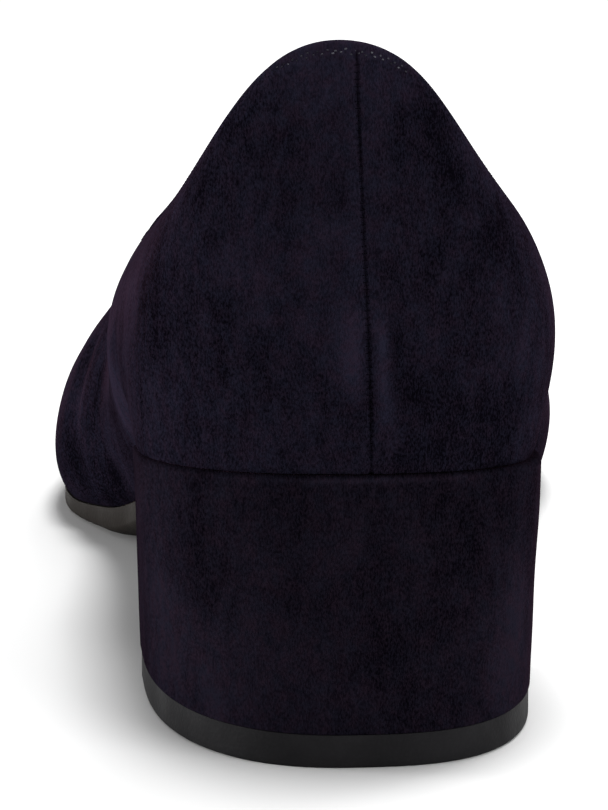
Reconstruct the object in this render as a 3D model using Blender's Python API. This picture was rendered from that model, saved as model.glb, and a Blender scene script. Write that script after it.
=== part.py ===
# Low block-heel pump, left shoe, in metres with +Z up.
# The pieces are worked out in millimetres in the heel's own frame: Y runs from the back of the heel
# to the toe, X to the inner side of the foot, and the floor is at Z = 0. The shoe is then centred.

from collections import namedtuple

import bmesh
import bpy
import numpy as np

MM = 0.001

# Driving sizes, in millimetres
SEAT_HEIGHT = 41.9        # heel seat above the floor at the very back
BREAST_HEIGHT = 35.9      # heel seat above the floor at the heel breast
BREAST_Y = 52.5           # heel breast, measured from the back of the heel
SEAT_RUN_OUT = 4.0        # straight run of the seat beyond the breast
FLAT_BACK_Y = 145.0       # the sole lies flat on the floor from here
FLAT_FRONT_Y = 186.0      # to here
WALL = 1.8                # suede and lining together
FOLD_RISE = 0.7           # height of the rounded, folded topline edge
GAP = 0.3                 # clearance between pieces that touch
SOLE_FOREFOOT = 3.5       # outsole thickness under the ball
SOLE_WAIST = 2.5          # outsole thickness at the heel breast
SOLE_CHAMFER = 0.9        # broken lower edge of the outsole
INSOLE_THICKNESS = 2.5
HEEL_CORNER = 1.2         # broken corner between the heel's side and its breast
HEEL_EDGE = 0.8           # rounding of the block's upper edge
LIFT_THICKNESS = 4.8
LIFT_INSET = 0.2          # top lift inside the block's lower outline
LIFT_CHAMFER = 0.45
END_CUT = 0.02            # rounded ends of the soles close with a narrow flat this far inside their tip
SMOOTH_ANGLE = 40.0       # degrees: faces that meet at less are shaded as one

# Grid counts
COLUMNS_PER_SPAN = 5
UPPER_ROWS = 13
OUTLINE_PER_SPAN = 30
PLATE_ROWS = 44
HEEL_COLUMNS = 31

# The upper's spokes, from the line where it meets the sole up to the topline, from the back of the
# heel along the outer side to the toe and back along the inner side. Each spoke is a cubic curve: it
# leaves the sole line outwards by low_out and up by low_up, and it reaches the topline from a point
# top_out outside and top_down below it.
Station = namedtuple("Station", "name edge_x edge_y top_x top_y top_z low_out low_up top_out top_down")
STATIONS = [
    Station("heel back", 0.4, 1.7, -1.4, 5.0, 101.0, 2.3, 18.0, 5.5, 18.0),
    Station("collar outer", -11.0, 3.8, -10.8, 8.2, 99.1, 1.7, 17.0, 6.5, 17.0),
    Station("heel corner outer", -20.9, 11.6, -18.3, 16.5, 89.9, 0.9, 16.0, 8.5, 14.0),
    Station("heel side outer", -28.6, 28.0, -23.6, 34.0, 77.1, 0.8, 14.0, 8.5, 11.0),
    Station("breast outer", -29.4, 52.0, -25.9, 58.0, 68.6, 2.6, 10.0, 7.5, 12.0),
    Station("waist outer", -24.0, 80.0, -26.0, 82.0, 62.6, 11.0, 8.0, 8.5, 12.0),
    Station("arch outer", -24.5, 108.0, -24.6, 106.0, 58.6, 9.5, 12.0, 7.5, 12.0),
    Station("shank outer", -27.5, 136.0, -20.5, 130.0, 55.2, 9.5, 13.0, 7.5, 10.0),
    Station("ball outer", -35.2, 160.0, -15.5, 146.5, 52.8, 8.4, 15.0, 9.5, 8.0),
    Station("small toe", -32.5, 192.0, -9.5, 158.5, 51.2, 5.5, 16.0, 18.2, 9.0),
    Station("toe outer", -13.5, 232.5, -2.0, 165.5, 50.0, 4.0, 16.0, 33.0, 12.0),
    Station("toe tip", 12.0, 246.0, 5.5, 167.5, 49.6, 3.5, 15.0, 38.0, 14.0),
    Station("toe inner", 33.0, 231.0, 13.0, 165.5, 50.0, 4.0, 16.0, 32.0, 12.0),
    Station("ball inner", 48.3, 180.0, 21.0, 157.5, 51.3, 7.5, 16.0, 18.0, 8.0),
    Station("shank inner", 40.0, 148.0, 26.0, 139.0, 54.3, 6.5, 17.0, 11.0, 9.0),
    Station("arch inner", 28.0, 116.0, 27.5, 112.0, 58.5, 7.0, 14.0, 6.0, 12.0),
    Station("waist inner", 22.0, 84.0, 26.8, 82.0, 63.4, 8.0, 10.0, 5.0, 13.0),
    Station("breast inner", 26.6, 52.0, 25.2, 54.0, 69.8, 4.8, 10.0, 7.0, 13.0),
    Station("heel side inner", 26.7, 28.0, 22.5, 34.0, 75.6, 4.4, 14.0, 9.7, 11.0),
    Station("heel corner inner", 21.0, 10.3, 15.7, 16.5, 85.6, 1.2, 16.0, 9.0, 13.0),
    Station("collar inner", 11.0, 2.9, 7.6, 8.2, 96.4, 0.8, 17.0, 7.0, 16.0),
]

# Along the shoe: height of the line where upper and sole meet, and of the sole's underside
SEAT_SLOPE = (SEAT_HEIGHT - BREAST_HEIGHT) / BREAST_Y
SEAT_END_HEIGHT = BREAST_HEIGHT - SEAT_RUN_OUT * SEAT_SLOPE
SoleRow = namedtuple("SoleRow", "name y seat_z base_z")
SOLE_LINE = [
    SoleRow("back", 0.0, SEAT_HEIGHT, SEAT_HEIGHT - SOLE_WAIST),
    SoleRow("breast", BREAST_Y, BREAST_HEIGHT, BREAST_HEIGHT - SOLE_WAIST),
    SoleRow("seat end", BREAST_Y + SEAT_RUN_OUT, SEAT_END_HEIGHT, SEAT_END_HEIGHT - SOLE_WAIST),
    SoleRow("waist", 80.0, 29.0, 26.2),
    SoleRow("arch", 104.0, 18.0, 14.4),
    SoleRow("shank", 128.0, 9.7, 5.2),
    SoleRow("shank end", FLAT_BACK_Y, 5.0, 0.0),
    SoleRow("ball", 160.0, SOLE_FOREFOOT, 0.0),
    SoleRow("ball front", FLAT_FRONT_Y, SOLE_FOREFOOT, 0.0),
    SoleRow("toes", 212.0, 5.3, 1.8),
    SoleRow("toe spring", 232.0, 8.7, 5.2),
    SoleRow("tip", 252.0, 13.8, 10.3),
]

# Plan of the heel block where it meets the upper and where it meets the lift. The back is round over
# round_depth, and the powers give that round on either side: 2 is an ellipse, more is squarer.
HeelRow = namedtuple("HeelRow", "name middle_x half_width back_y round_depth outer_power inner_power")
HEEL_SEAT = HeelRow("seat", -0.9, 29.2, 1.2, 38.3, 2.1, 2.7)
HEEL_FOOT = HeelRow("foot", -1.0, 28.2, -1.1, 46.0, 2.4, 2.75)

# Colours, linear
SUEDE = (0.0085, 0.0070, 0.0137, 1.0)
SUEDE_HEEL = (0.0070, 0.0058, 0.0098, 1.0)
LINING = (0.200, 0.155, 0.125, 1.0)
SOLE_BROWN = (0.045, 0.040, 0.038, 1.0)
LIFT_BLACK = (0.014, 0.013, 0.015, 1.0)


def monotone_curve(knots, values):
    """Smooth curve through the rows of a table that never overshoots them."""
    knots = np.array(knots)
    values = np.array(values)
    steps = np.diff(knots)
    slopes = np.diff(values) / steps
    tangents = np.zeros(len(knots))
    tangents[0] = slopes[0]
    tangents[-1] = slopes[-1]
    for i in range(1, len(knots) - 1):
        if slopes[i - 1] * slopes[i] > 0.0:
            near = 2.0 * steps[i] + steps[i - 1]
            far = steps[i] + 2.0 * steps[i - 1]
            tangents[i] = (near + far) / (near / slopes[i - 1] + far / slopes[i])

    def curve(at):
        span = np.clip(np.searchsorted(knots, at) - 1, 0, len(steps) - 1)
        t = (at - knots[span]) / steps[span]
        rise = values[span + 1] - values[span]
        start = tangents[span] * steps[span]
        end = tangents[span + 1] * steps[span]
        square = 3.0 * rise - 2.0 * start - end
        cube = start + end - 2.0 * rise
        return values[span] + t * (start + t * (square + t * cube))

    return curve


seat_z = monotone_curve([row.y for row in SOLE_LINE], [row.seat_z for row in SOLE_LINE])
base_z = monotone_curve([row.y for row in SOLE_LINE], [row.base_z for row in SOLE_LINE])


def closed_spline(values, lengths, per_span):
    """Smooth closed curve through the rows of values, sampled per_span times in each span."""
    count = len(values)
    system = np.zeros((count, count))
    target = np.zeros_like(values)
    for i in range(count):
        before = (i - 1) % count
        after = (i + 1) % count
        system[i, before] = lengths[before]
        system[i, i] = 2.0 * (lengths[before] + lengths[i])
        system[i, after] = lengths[i]
        rise_after = (values[after] - values[i]) / lengths[i]
        rise_before = (values[i] - values[before]) / lengths[before]
        target[i] = 6.0 * (rise_after - rise_before)
    bends = np.linalg.solve(system, target)
    samples = []
    for i in range(count):
        after = (i + 1) % count
        for t in np.arange(per_span) / per_span:
            s = 1.0 - t
            bend = (s ** 3 - s) * bends[i] + (t ** 3 - t) * bends[after]
            samples.append(s * values[i] + t * values[after] + bend * lengths[i] ** 2 / 6.0)
    return np.array(samples)


def sampled_stations(per_span):
    """The station table as a smooth closed loop, one row of named columns to each sample."""
    table = np.array([row[1:] for row in STATIONS])
    edge = table[:, :2]
    lengths = np.linalg.norm(np.roll(edge, -1, axis=0) - edge, axis=1)
    line = closed_spline(edge, lengths, per_span)
    spokes = closed_spline(table[:, 2:], np.ones(len(table)), per_span)
    return Station("sampled", *np.hstack([line, spokes]).T)


def outward(x, y):
    """Unit normals of a closed plan outline that runs clockwise seen from above."""
    along_x = np.roll(x, -1) - np.roll(x, 1)
    along_y = np.roll(y, -1) - np.roll(y, 1)
    size = np.hypot(along_x, along_y)
    return -along_y / size, along_x / size


def upper_surface():
    """Outer face of the upper as a grid of points: columns round the shoe, rows up each spoke."""
    loop = sampled_stations(COLUMNS_PER_SPAN)
    out_x, out_y = outward(loop.edge_x, loop.edge_y)
    flat = np.zeros_like(out_x)
    out = np.stack([out_x, out_y, flat], axis=1)
    up = np.array([0.0, 0.0, 1.0])
    foot = np.stack([loop.edge_x, loop.edge_y, seat_z(loop.edge_y)], axis=1)
    top = np.stack([loop.top_x, loop.top_y, loop.top_z], axis=1)
    low = foot + out * loop.low_out[:, None] + up * loop.low_up[:, None]
    high = top + out * loop.top_out[:, None] - up * loop.top_down[:, None]
    t = np.linspace(0.0, 1.0, UPPER_ROWS)[None, :, None]
    s = 1.0 - t
    rising = s ** 3 * foot[:, None] + 3.0 * s * s * t * low[:, None]
    closing = 3.0 * s * t * t * high[:, None] + t ** 3 * top[:, None]
    return rising + closing, out


def grid_normals(grid):
    """Unit normals of the upper's grid, pointing out of the shoe."""
    along = np.roll(grid, -1, axis=0) - np.roll(grid, 1, axis=0)
    rise = np.gradient(grid, axis=1)
    normals = np.cross(rise, along)
    return normals / np.linalg.norm(normals, axis=2, keepdims=True)


def upper_wall():
    """Rings of points, one to a column, round the section of the upper's wall."""
    outer, out = upper_surface()
    normals = grid_normals(outer)
    inner = outer - WALL * normals
    foot = outer[:, 0] - WALL * out
    foot[:, 2] = seat_z(foot[:, 1])
    inner[:, 0] = foot
    rise = outer[:, -1] - outer[:, -2]
    rise = rise / np.linalg.norm(rise, axis=1, keepdims=True)
    fold = 0.5 * (outer[:, -1] + inner[:, -1]) + FOLD_RISE * rise
    return np.concatenate([outer, fold[:, None], inner[:, ::-1]], axis=1)


def outline(margin):
    """Plan outline of the sole line, moved out by margin, as an outer and an inner side by rising y."""
    loop = sampled_stations(OUTLINE_PER_SPAN)
    out_x, out_y = outward(loop.edge_x, loop.edge_y)
    x = loop.edge_x + margin * out_x
    y = loop.edge_y + margin * out_y
    back = int(np.argmin(y))
    x = np.roll(x, -back)
    y = np.roll(y, -back)
    tip = int(np.argmax(y))
    side_outer = np.stack([x[:tip + 1], y[:tip + 1]], axis=1)
    side_inner = np.stack([np.append(x[tip:], x[0])[::-1], np.append(y[tip:], y[0])[::-1]], axis=1)
    return side_outer, side_inner


def row_places(start, end, close_start):
    """Places along the shoe, closer together towards a rounded end."""
    if close_start:
        share = 0.5 - 0.5 * np.cos(np.linspace(0.0, np.pi, PLATE_ROWS))
    else:
        share = np.sin(np.linspace(0.0, 0.5 * np.pi, PLATE_ROWS))
    return start + (end - start) * share


def sole_sections():
    """Sections of the outsole from the heel breast to the toe, each a ring of six points."""
    side_outer, side_inner = outline(0.0)
    tip = side_outer[-1, 1] - END_CUT
    rings = []
    for y in row_places(BREAST_Y + GAP, tip, close_start=False):
        left = np.interp(y, side_outer[:, 1], side_outer[:, 0])
        right = np.interp(y, side_inner[:, 1], side_inner[:, 0])
        high = seat_z(y) - GAP
        base = base_z(y)
        cut = min(SOLE_CHAMFER, 0.25 * (right - left))
        rings.append([(left, y, high), (right, y, high), (right, y, base + SOLE_CHAMFER),
                      (right - cut, y, base), (left + cut, y, base), (left, y, base + SOLE_CHAMFER)])
    return np.array(rings)


def insole_sections():
    """Sections of the insole from the back of the heel to the toe, each a ring of four points."""
    side_outer, side_inner = outline(-WALL - GAP)
    back = side_outer[0, 1] + END_CUT
    tip = side_outer[-1, 1] - END_CUT
    rings = []
    for y in row_places(back, tip, close_start=True):
        left = np.interp(y, side_outer[:, 1], side_outer[:, 0])
        right = np.interp(y, side_inner[:, 1], side_inner[:, 0])
        base = seat_z(y)
        high = base + INSOLE_THICKNESS
        rings.append([(left, y, high), (right, y, high), (right, y, base), (left, y, base)])
    return np.array(rings)


def heel_plan(row, inset):
    """Plan of the heel, a round back with straight sides to the breast, drawn in by inset."""
    width = row.half_width - inset
    breast = BREAST_Y - inset
    turn = np.linspace(-0.5 * np.pi, 0.5 * np.pi, HEEL_COLUMNS)
    power = 2.0 / np.where(turn < 0.0, row.outer_power, row.inner_power)
    x = row.middle_x + width * np.sign(np.sin(turn)) * np.abs(np.sin(turn)) ** power
    y = row.back_y + inset + row.round_depth * (1.0 - np.abs(np.cos(turn)) ** power)
    low = row.middle_x - width
    high = row.middle_x + width
    left = [(low + HEEL_CORNER, breast), (low, breast - HEEL_CORNER)]
    right = [(high, breast - HEEL_CORNER), (high - HEEL_CORNER, breast)]
    return np.vstack([left, np.column_stack([x, y]), right])


def level(plan, height):
    """A ring of points over a plan, at one height or at a height for each point."""
    z = np.broadcast_to(height, len(plan))
    return np.column_stack([plan, z])


def heel_levels():
    """Rings of the heel block from the seat down to the lift."""
    seat = heel_plan(HEEL_SEAT, HEEL_EDGE)
    full = heel_plan(HEEL_SEAT, 0.0)
    return [level(seat, seat_z(seat[:, 1]) - GAP),
            level(full, seat_z(full[:, 1]) - GAP - HEEL_EDGE),
            level(heel_plan(HEEL_FOOT, 0.0), LIFT_THICKNESS + GAP)]


def lift_levels():
    """Rings of the top lift from the block down to the floor."""
    side = heel_plan(HEEL_FOOT, LIFT_INSET)
    tread = heel_plan(HEEL_FOOT, LIFT_INSET + LIFT_CHAMFER)
    return [level(side, LIFT_THICKNESS), level(side, LIFT_CHAMFER), level(tread, 0.0)]


def closed_mesh(name, rings, capped):
    """Mesh through rings of points; capped ends are closed, otherwise the last ring meets the first."""
    count = len(rings)
    size = len(rings[0])
    shape = bmesh.new()
    points = [[shape.verts.new(np.array(point) * MM) for point in ring] for ring in rings]
    spans = count - 1 if capped else count
    for i in range(spans):
        ring = points[i]
        following = points[(i + 1) % count]
        for j in range(size):
            k = (j + 1) % size
            shape.faces.new((ring[j], ring[k], following[k], following[j]))
    if capped:
        shape.faces.new(points[0])
        shape.faces.new(points[-1])
    bmesh.ops.recalc_face_normals(shape, faces=shape.faces)
    mesh = bpy.data.meshes.new(name)
    shape.to_mesh(mesh)
    shape.free()
    mesh.shade_smooth()
    mesh.set_sharp_from_angle(angle=np.radians(SMOOTH_ANGLE))
    return mesh


def finish(name, colour, roughness):
    """A plain material for one piece."""
    material = bpy.data.materials.new(name)
    material.use_nodes = True
    shader = material.node_tree.nodes["Principled BSDF"]
    shader.inputs["Base Color"].default_value = colour
    shader.inputs["Roughness"].default_value = roughness
    shader.inputs["Metallic"].default_value = 0.0
    return material


def add_piece(name, mesh, material, parent):
    piece = bpy.data.objects.new(name, mesh)
    mesh.materials.append(material)
    piece.parent = parent
    bpy.context.collection.objects.link(piece)
    return piece


def centre_on_floor(pieces, parent):
    """Move the shoe so that its box is centred over the origin, standing on the floor."""
    corners = np.array([vertex.co for piece in pieces for vertex in piece.data.vertices])
    middle = 0.5 * (corners.min(axis=0) + corners.max(axis=0))
    parent.location = (-middle[0], -middle[1], 0.0)


def main():
    for old in list(bpy.data.objects):
        bpy.data.objects.remove(old, do_unlink=True)
    shoe = bpy.data.objects.new("low_heel_pump", None)
    bpy.context.collection.objects.link(shoe)
    pieces = [
        add_piece("upper", closed_mesh("upper", upper_wall(), capped=False),
                  finish("upper_suede", SUEDE, 0.9), shoe),
        add_piece("insole", closed_mesh("insole", insole_sections(), capped=True),
                  finish("insole_lining", LINING, 0.7), shoe),
        add_piece("outsole", closed_mesh("outsole", sole_sections(), capped=True),
                  finish("outsole_rubber", SOLE_BROWN, 0.65), shoe),
        add_piece("heel_block", closed_mesh("heel_block", heel_levels(), capped=True),
                  finish("heel_suede", SUEDE_HEEL, 0.9), shoe),
        add_piece("top_lift", closed_mesh("top_lift", lift_levels(), capped=True),
                  finish("lift_rubber", LIFT_BLACK, 0.6), shoe),
    ]
    centre_on_floor(pieces, shoe)


main()
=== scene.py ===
"""Looks of the low block-heel pump: suede upper and heel, lining, seams, soles and the stage.

Shapes are worked out in millimetres in the heel's own frame: Y runs from the back of the heel to the
toe, X to the inner side of the foot, and the floor is at Z = 0. They are then moved onto the frame.
"""

import math
from collections import namedtuple

import bpy
import numpy as np
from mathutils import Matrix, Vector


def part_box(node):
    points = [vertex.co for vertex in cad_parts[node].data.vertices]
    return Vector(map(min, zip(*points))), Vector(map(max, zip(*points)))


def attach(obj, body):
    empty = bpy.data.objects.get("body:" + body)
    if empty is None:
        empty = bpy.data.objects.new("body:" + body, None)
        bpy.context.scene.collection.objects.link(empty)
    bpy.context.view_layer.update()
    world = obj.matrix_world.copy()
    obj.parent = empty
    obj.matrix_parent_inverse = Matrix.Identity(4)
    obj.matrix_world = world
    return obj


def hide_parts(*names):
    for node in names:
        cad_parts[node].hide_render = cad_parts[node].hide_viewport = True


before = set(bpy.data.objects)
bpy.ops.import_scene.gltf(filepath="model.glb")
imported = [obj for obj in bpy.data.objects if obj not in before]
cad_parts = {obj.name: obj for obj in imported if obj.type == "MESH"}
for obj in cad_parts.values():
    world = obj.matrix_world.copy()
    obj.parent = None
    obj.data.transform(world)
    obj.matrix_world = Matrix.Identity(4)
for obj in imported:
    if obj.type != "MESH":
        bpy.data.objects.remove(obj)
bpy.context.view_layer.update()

bl_info = {
    "name": "Low heel pump looks",
    "version": (1, 0, 0),
    "blender": (4, 5, 0),
    "location": "View3D > Sidebar > Pump",
    "description": "Dresses the low heel pump in suede, leather and rubber",
    "category": "Object",
}

MM = 0.001
IMAGE_WIDTH = 608
IMAGE_HEIGHT = 810

# The shoe's driving sizes, in millimetres, as the solids have them
SEAT_HEIGHT = 41.9
BREAST_HEIGHT = 35.9
BREAST_Y = 52.5
SEAT_RUN_OUT = 4.0
FLAT_BACK_Y = 145.0
FLAT_FRONT_Y = 186.0
WALL = 1.8
FOLD_RISE = 0.7
GAP = 0.3
SOLE_FOREFOOT = 3.5
SOLE_WAIST = 2.5
INSOLE_THICKNESS = 2.5
LIFT_THICKNESS = 4.8
LIFT_INSET = 0.2
END_CUT = 0.02

# The upper's spokes, from the sole line up to the topline, round the shoe from the back of the heel
# along the outer side to the toe and back along the inner side. Each is a cubic curve.
Station = namedtuple("Station", "name edge_x edge_y top_x top_y top_z low_out low_up top_out top_down")
STATIONS = [
    Station("heel back", 0.4, 1.7, -1.4, 5.0, 101.0, 2.3, 18.0, 5.5, 18.0),
    Station("collar outer", -11.0, 3.8, -10.8, 8.2, 99.1, 1.7, 17.0, 6.5, 17.0),
    Station("heel corner outer", -20.9, 11.6, -18.3, 16.5, 89.9, 0.9, 16.0, 8.5, 14.0),
    Station("heel side outer", -28.6, 28.0, -23.6, 34.0, 77.1, 0.8, 14.0, 8.5, 11.0),
    Station("breast outer", -29.4, 52.0, -25.9, 58.0, 68.6, 2.6, 10.0, 7.5, 12.0),
    Station("waist outer", -24.0, 80.0, -26.0, 82.0, 62.6, 11.0, 8.0, 8.5, 12.0),
    Station("arch outer", -24.5, 108.0, -24.6, 106.0, 58.6, 9.5, 12.0, 7.5, 12.0),
    Station("shank outer", -27.5, 136.0, -20.5, 130.0, 55.2, 9.5, 13.0, 7.5, 10.0),
    Station("ball outer", -35.2, 160.0, -15.5, 146.5, 52.8, 8.4, 15.0, 9.5, 8.0),
    Station("small toe", -32.5, 192.0, -9.5, 158.5, 51.2, 5.5, 16.0, 18.2, 9.0),
    Station("toe outer", -13.5, 232.5, -2.0, 165.5, 50.0, 4.0, 16.0, 33.0, 12.0),
    Station("toe tip", 12.0, 246.0, 5.5, 167.5, 49.6, 3.5, 15.0, 38.0, 14.0),
    Station("toe inner", 33.0, 231.0, 13.0, 165.5, 50.0, 4.0, 16.0, 32.0, 12.0),
    Station("ball inner", 48.3, 180.0, 21.0, 157.5, 51.3, 7.5, 16.0, 18.0, 8.0),
    Station("shank inner", 40.0, 148.0, 26.0, 139.0, 54.3, 6.5, 17.0, 11.0, 9.0),
    Station("arch inner", 28.0, 116.0, 27.5, 112.0, 58.5, 7.0, 14.0, 6.0, 12.0),
    Station("waist inner", 22.0, 84.0, 26.8, 82.0, 63.4, 8.0, 10.0, 5.0, 13.0),
    Station("breast inner", 26.6, 52.0, 25.2, 54.0, 69.8, 4.8, 10.0, 7.0, 13.0),
    Station("heel side inner", 26.7, 28.0, 22.5, 34.0, 75.6, 4.4, 14.0, 9.7, 11.0),
    Station("heel corner inner", 21.0, 10.3, 15.7, 16.5, 85.6, 1.2, 16.0, 9.0, 13.0),
    Station("collar inner", 11.0, 2.9, 7.6, 8.2, 96.4, 0.8, 17.0, 7.0, 16.0),
]

# Along the shoe: height of the line where upper and sole meet, and of the sole's underside
SEAT_SLOPE = (SEAT_HEIGHT - BREAST_HEIGHT) / BREAST_Y
SEAT_END_HEIGHT = BREAST_HEIGHT - SEAT_RUN_OUT * SEAT_SLOPE
SoleRow = namedtuple("SoleRow", "name y seat_z base_z")
SOLE_LINE = [
    SoleRow("back", 0.0, SEAT_HEIGHT, SEAT_HEIGHT - SOLE_WAIST),
    SoleRow("breast", BREAST_Y, BREAST_HEIGHT, BREAST_HEIGHT - SOLE_WAIST),
    SoleRow("seat end", BREAST_Y + SEAT_RUN_OUT, SEAT_END_HEIGHT, SEAT_END_HEIGHT - SOLE_WAIST),
    SoleRow("waist", 80.0, 29.0, 26.2),
    SoleRow("arch", 104.0, 18.0, 14.4),
    SoleRow("shank", 128.0, 9.7, 5.2),
    SoleRow("shank end", FLAT_BACK_Y, 5.0, 0.0),
    SoleRow("ball", 160.0, SOLE_FOREFOOT, 0.0),
    SoleRow("ball front", FLAT_FRONT_Y, SOLE_FOREFOOT, 0.0),
    SoleRow("toes", 212.0, 5.3, 1.8),
    SoleRow("toe spring", 232.0, 8.7, 5.2),
    SoleRow("tip", 252.0, 13.8, 10.3),
]

# Plan of the heel where it meets the upper and where it meets the lift. The back is round over
# round_depth, and the powers give that round on either side: 2 is an ellipse, more is squarer.
HeelRow = namedtuple("HeelRow", "name middle_x half_width back_y round_depth outer_power inner_power")
HEEL_SEAT = HeelRow("seat", -0.9, 29.2, 1.2, 38.3, 2.1, 2.7)
HEEL_FOOT = HeelRow("foot", -1.0, 28.2, -1.1, 46.0, 2.4, 2.75)

# Pull creases in the suede. A route gives places round the shoe in stations and shares of the height.
# A positive depth is a trough, a negative one a ridge; width is half the crease's width.
Crease = namedtuple("Crease", "name route width depth")
CREASES = [
    Crease("outer ball pull", ((8.05, 0.56), (7.80, 0.37), (7.60, 0.16)), 2.6, 0.55),
    Crease("outer ball ridge", ((7.55, 0.52), (7.35, 0.34), (7.25, 0.14)), 3.0, -0.45),
    Crease("outer shank dip", ((7.00, 0.22), (6.75, 0.10), (6.55, 0.05)), 3.2, 0.50),
    Crease("outer waist pull", ((4.35, 0.50), (4.75, 0.28), (5.30, 0.14)), 2.8, 0.40),
    Crease("inner waist pull", ((16.70, 0.52), (16.30, 0.30), (15.80, 0.15)), 2.8, 0.40),
    Crease("inner ball pull", ((13.75, 0.55), (13.95, 0.36), (14.20, 0.18)), 2.6, 0.45),
    Crease("vamp flex outer", ((9.20, 0.62), (9.80, 0.72), (10.60, 0.78)), 3.0, 0.25),
    Crease("vamp flex inner", ((12.80, 0.64), (12.30, 0.73), (11.60, 0.79)), 3.0, 0.25),
]

# Soft places where the suede is painted lighter (positive) or darker (negative), in millimetres: mostly nap
# that lies lighter or darker, with some painted sheen and painted shade as noted
NapAndLightPatch = namedtuple("NapAndLightPatch", "name x y z reach strength")
UPPER_PATCHES = [
    # the counter right edge, outer quarter and outer quarter low patches are painted sheen with lighter nap
    # where the sides turn away; the outer shank trough and outer arch trough patches are painted shade
    NapAndLightPatch("collar left", -11.5, 7.0, 93.0, 8.0, 0.12),
    NapAndLightPatch("seam high", -2.0, 2.6, 80.0, 9.0, 0.10),
    NapAndLightPatch("seam middle", 1.0, 2.0, 73.0, 6.0, 0.14),
    NapAndLightPatch("seam low", 3.2, 1.0, 49.0, 4.0, 0.18),
    NapAndLightPatch("left of the seam", -4.2, 1.2, 60.0, 5.0, 0.16),
    NapAndLightPatch("beside the streak", -9.0, 2.4, 55.0, 5.5, -0.20),
    NapAndLightPatch("counter left high", -16.0, 6.5, 73.0, 7.0, 0.14),
    NapAndLightPatch("counter left low", -24.5, 17.0, 50.0, 9.0, 0.10),
    NapAndLightPatch("collar outer slope", -22.0, 16.0, 82.0, 8.0, -0.18),
    NapAndLightPatch("heel side outer", -28.0, 27.0, 62.0, 9.0, -0.20),
    NapAndLightPatch("collar top", -3.0, 5.0, 97.0, 5.0, 0.30),
    NapAndLightPatch("collar right", 7.4, 4.4, 88.0, 6.0, -0.24),
    NapAndLightPatch("collar inner slope", 17.5, 10.5, 74.0, 7.0, -0.18),
    NapAndLightPatch("collar inner scuff", 14.8, 6.5, 76.0, 2.4, 0.30),
    NapAndLightPatch("collar inner shade", 13.0, 6.0, 82.0, 4.5, -0.18),
    NapAndLightPatch("counter right", 9.5, 2.3, 52.0, 8.0, -0.08),
    NapAndLightPatch("counter right high", 12.0, 3.6, 65.0, 7.0, 0.16),
    NapAndLightPatch("counter right low", 18.0, 8.0, 44.0, 8.0, -0.10),
    NapAndLightPatch("counter right edge", 21.8, 11.3, 56.5, 5.0, 0.18),
    NapAndLightPatch("outer quarter", -31.5, 83.0, 39.5, 9.0, 0.52),
    NapAndLightPatch("outer quarter low", -28.5, 92.0, 30.0, 7.0, 0.40),
    NapAndLightPatch("outer shank trough", -31.5, 137.0, 27.0, 7.0, -0.22),
    NapAndLightPatch("outer arch trough", -29.0, 110.0, 26.0, 8.0, -0.20),
    NapAndLightPatch("outer ball", -34.5, 148.0, 11.0, 6.0, -0.34),
    NapAndLightPatch("outer shank", -28.5, 132.0, 11.5, 6.0, -0.30),
    NapAndLightPatch("outer ball streak", -34.6, 147.6, 20.5, 4.0, 0.16),
]
HEEL_PATCHES = [
    # the outer edge, outer top, outer low, outer foot and inner low patches are painted sheen with lighter
    # nap where the heel's sides turn away
    NapAndLightPatch("outer edge", -28.6, 27.0, 29.0, 9.0, 0.22),
    NapAndLightPatch("outer top", -26.5, 20.0, 36.0, 6.0, 0.18),
    NapAndLightPatch("outer scuff", -28.0, 24.0, 20.5, 3.5, 0.20),
    NapAndLightPatch("back top", -8.0, 2.2, 37.0, 7.0, -0.14),
    NapAndLightPatch("outer low", -26.5, 20.0, 14.0, 11.0, 0.52),
    NapAndLightPatch("outer foot", -20.0, 8.0, 9.0, 9.0, 0.34),
    NapAndLightPatch("back foot", -4.5, -0.3, 11.0, 9.0, 0.10),
    NapAndLightPatch("inner low", 21.0, 9.0, 13.0, 9.0, 0.56),
    NapAndLightPatch("inner scuff", 21.8, 10.4, 22.5, 5.0, 0.28),
    NapAndLightPatch("back middle", 3.6, 0.6, 31.0, 7.0, 0.18),
    NapAndLightPatch("inner middle", 10.0, 1.5, 22.0, 8.0, 0.06),
]

# Upright streaks beside the back seam, lighter from rubbed nap and from painted highlight on the seam's
# ridges: how far aside of it, from low to high
NapAndHighlightStreak = namedtuple("NapAndHighlightStreak", "name aside low high width strength")
STREAK_END = 6.0          # a streak fades out over this height at its ends
STREAK_BACK = 20.0        # and only the shoe's back has them
SEAM_STREAKS = [
    NapAndHighlightStreak("outer", -2.4, 50.0, 68.0, 1.5, 0.42),
    NapAndHighlightStreak("inner", 1.9, 47.0, 67.0, 1.05, 0.58),
]

# Slow waves that keep lasted suede from looking moulded: wavelength and height in millimetres
Wave = namedtuple("Wave", "length_x length_y length_z phase height")
WAVES = [
    Wave(31.0, 47.0, 38.0, 0.4, 0.07),
    Wave(-19.0, 29.0, 23.0, 1.9, 0.05),
    Wave(13.0, -21.0, 17.0, 4.1, 0.03),
]

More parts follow.
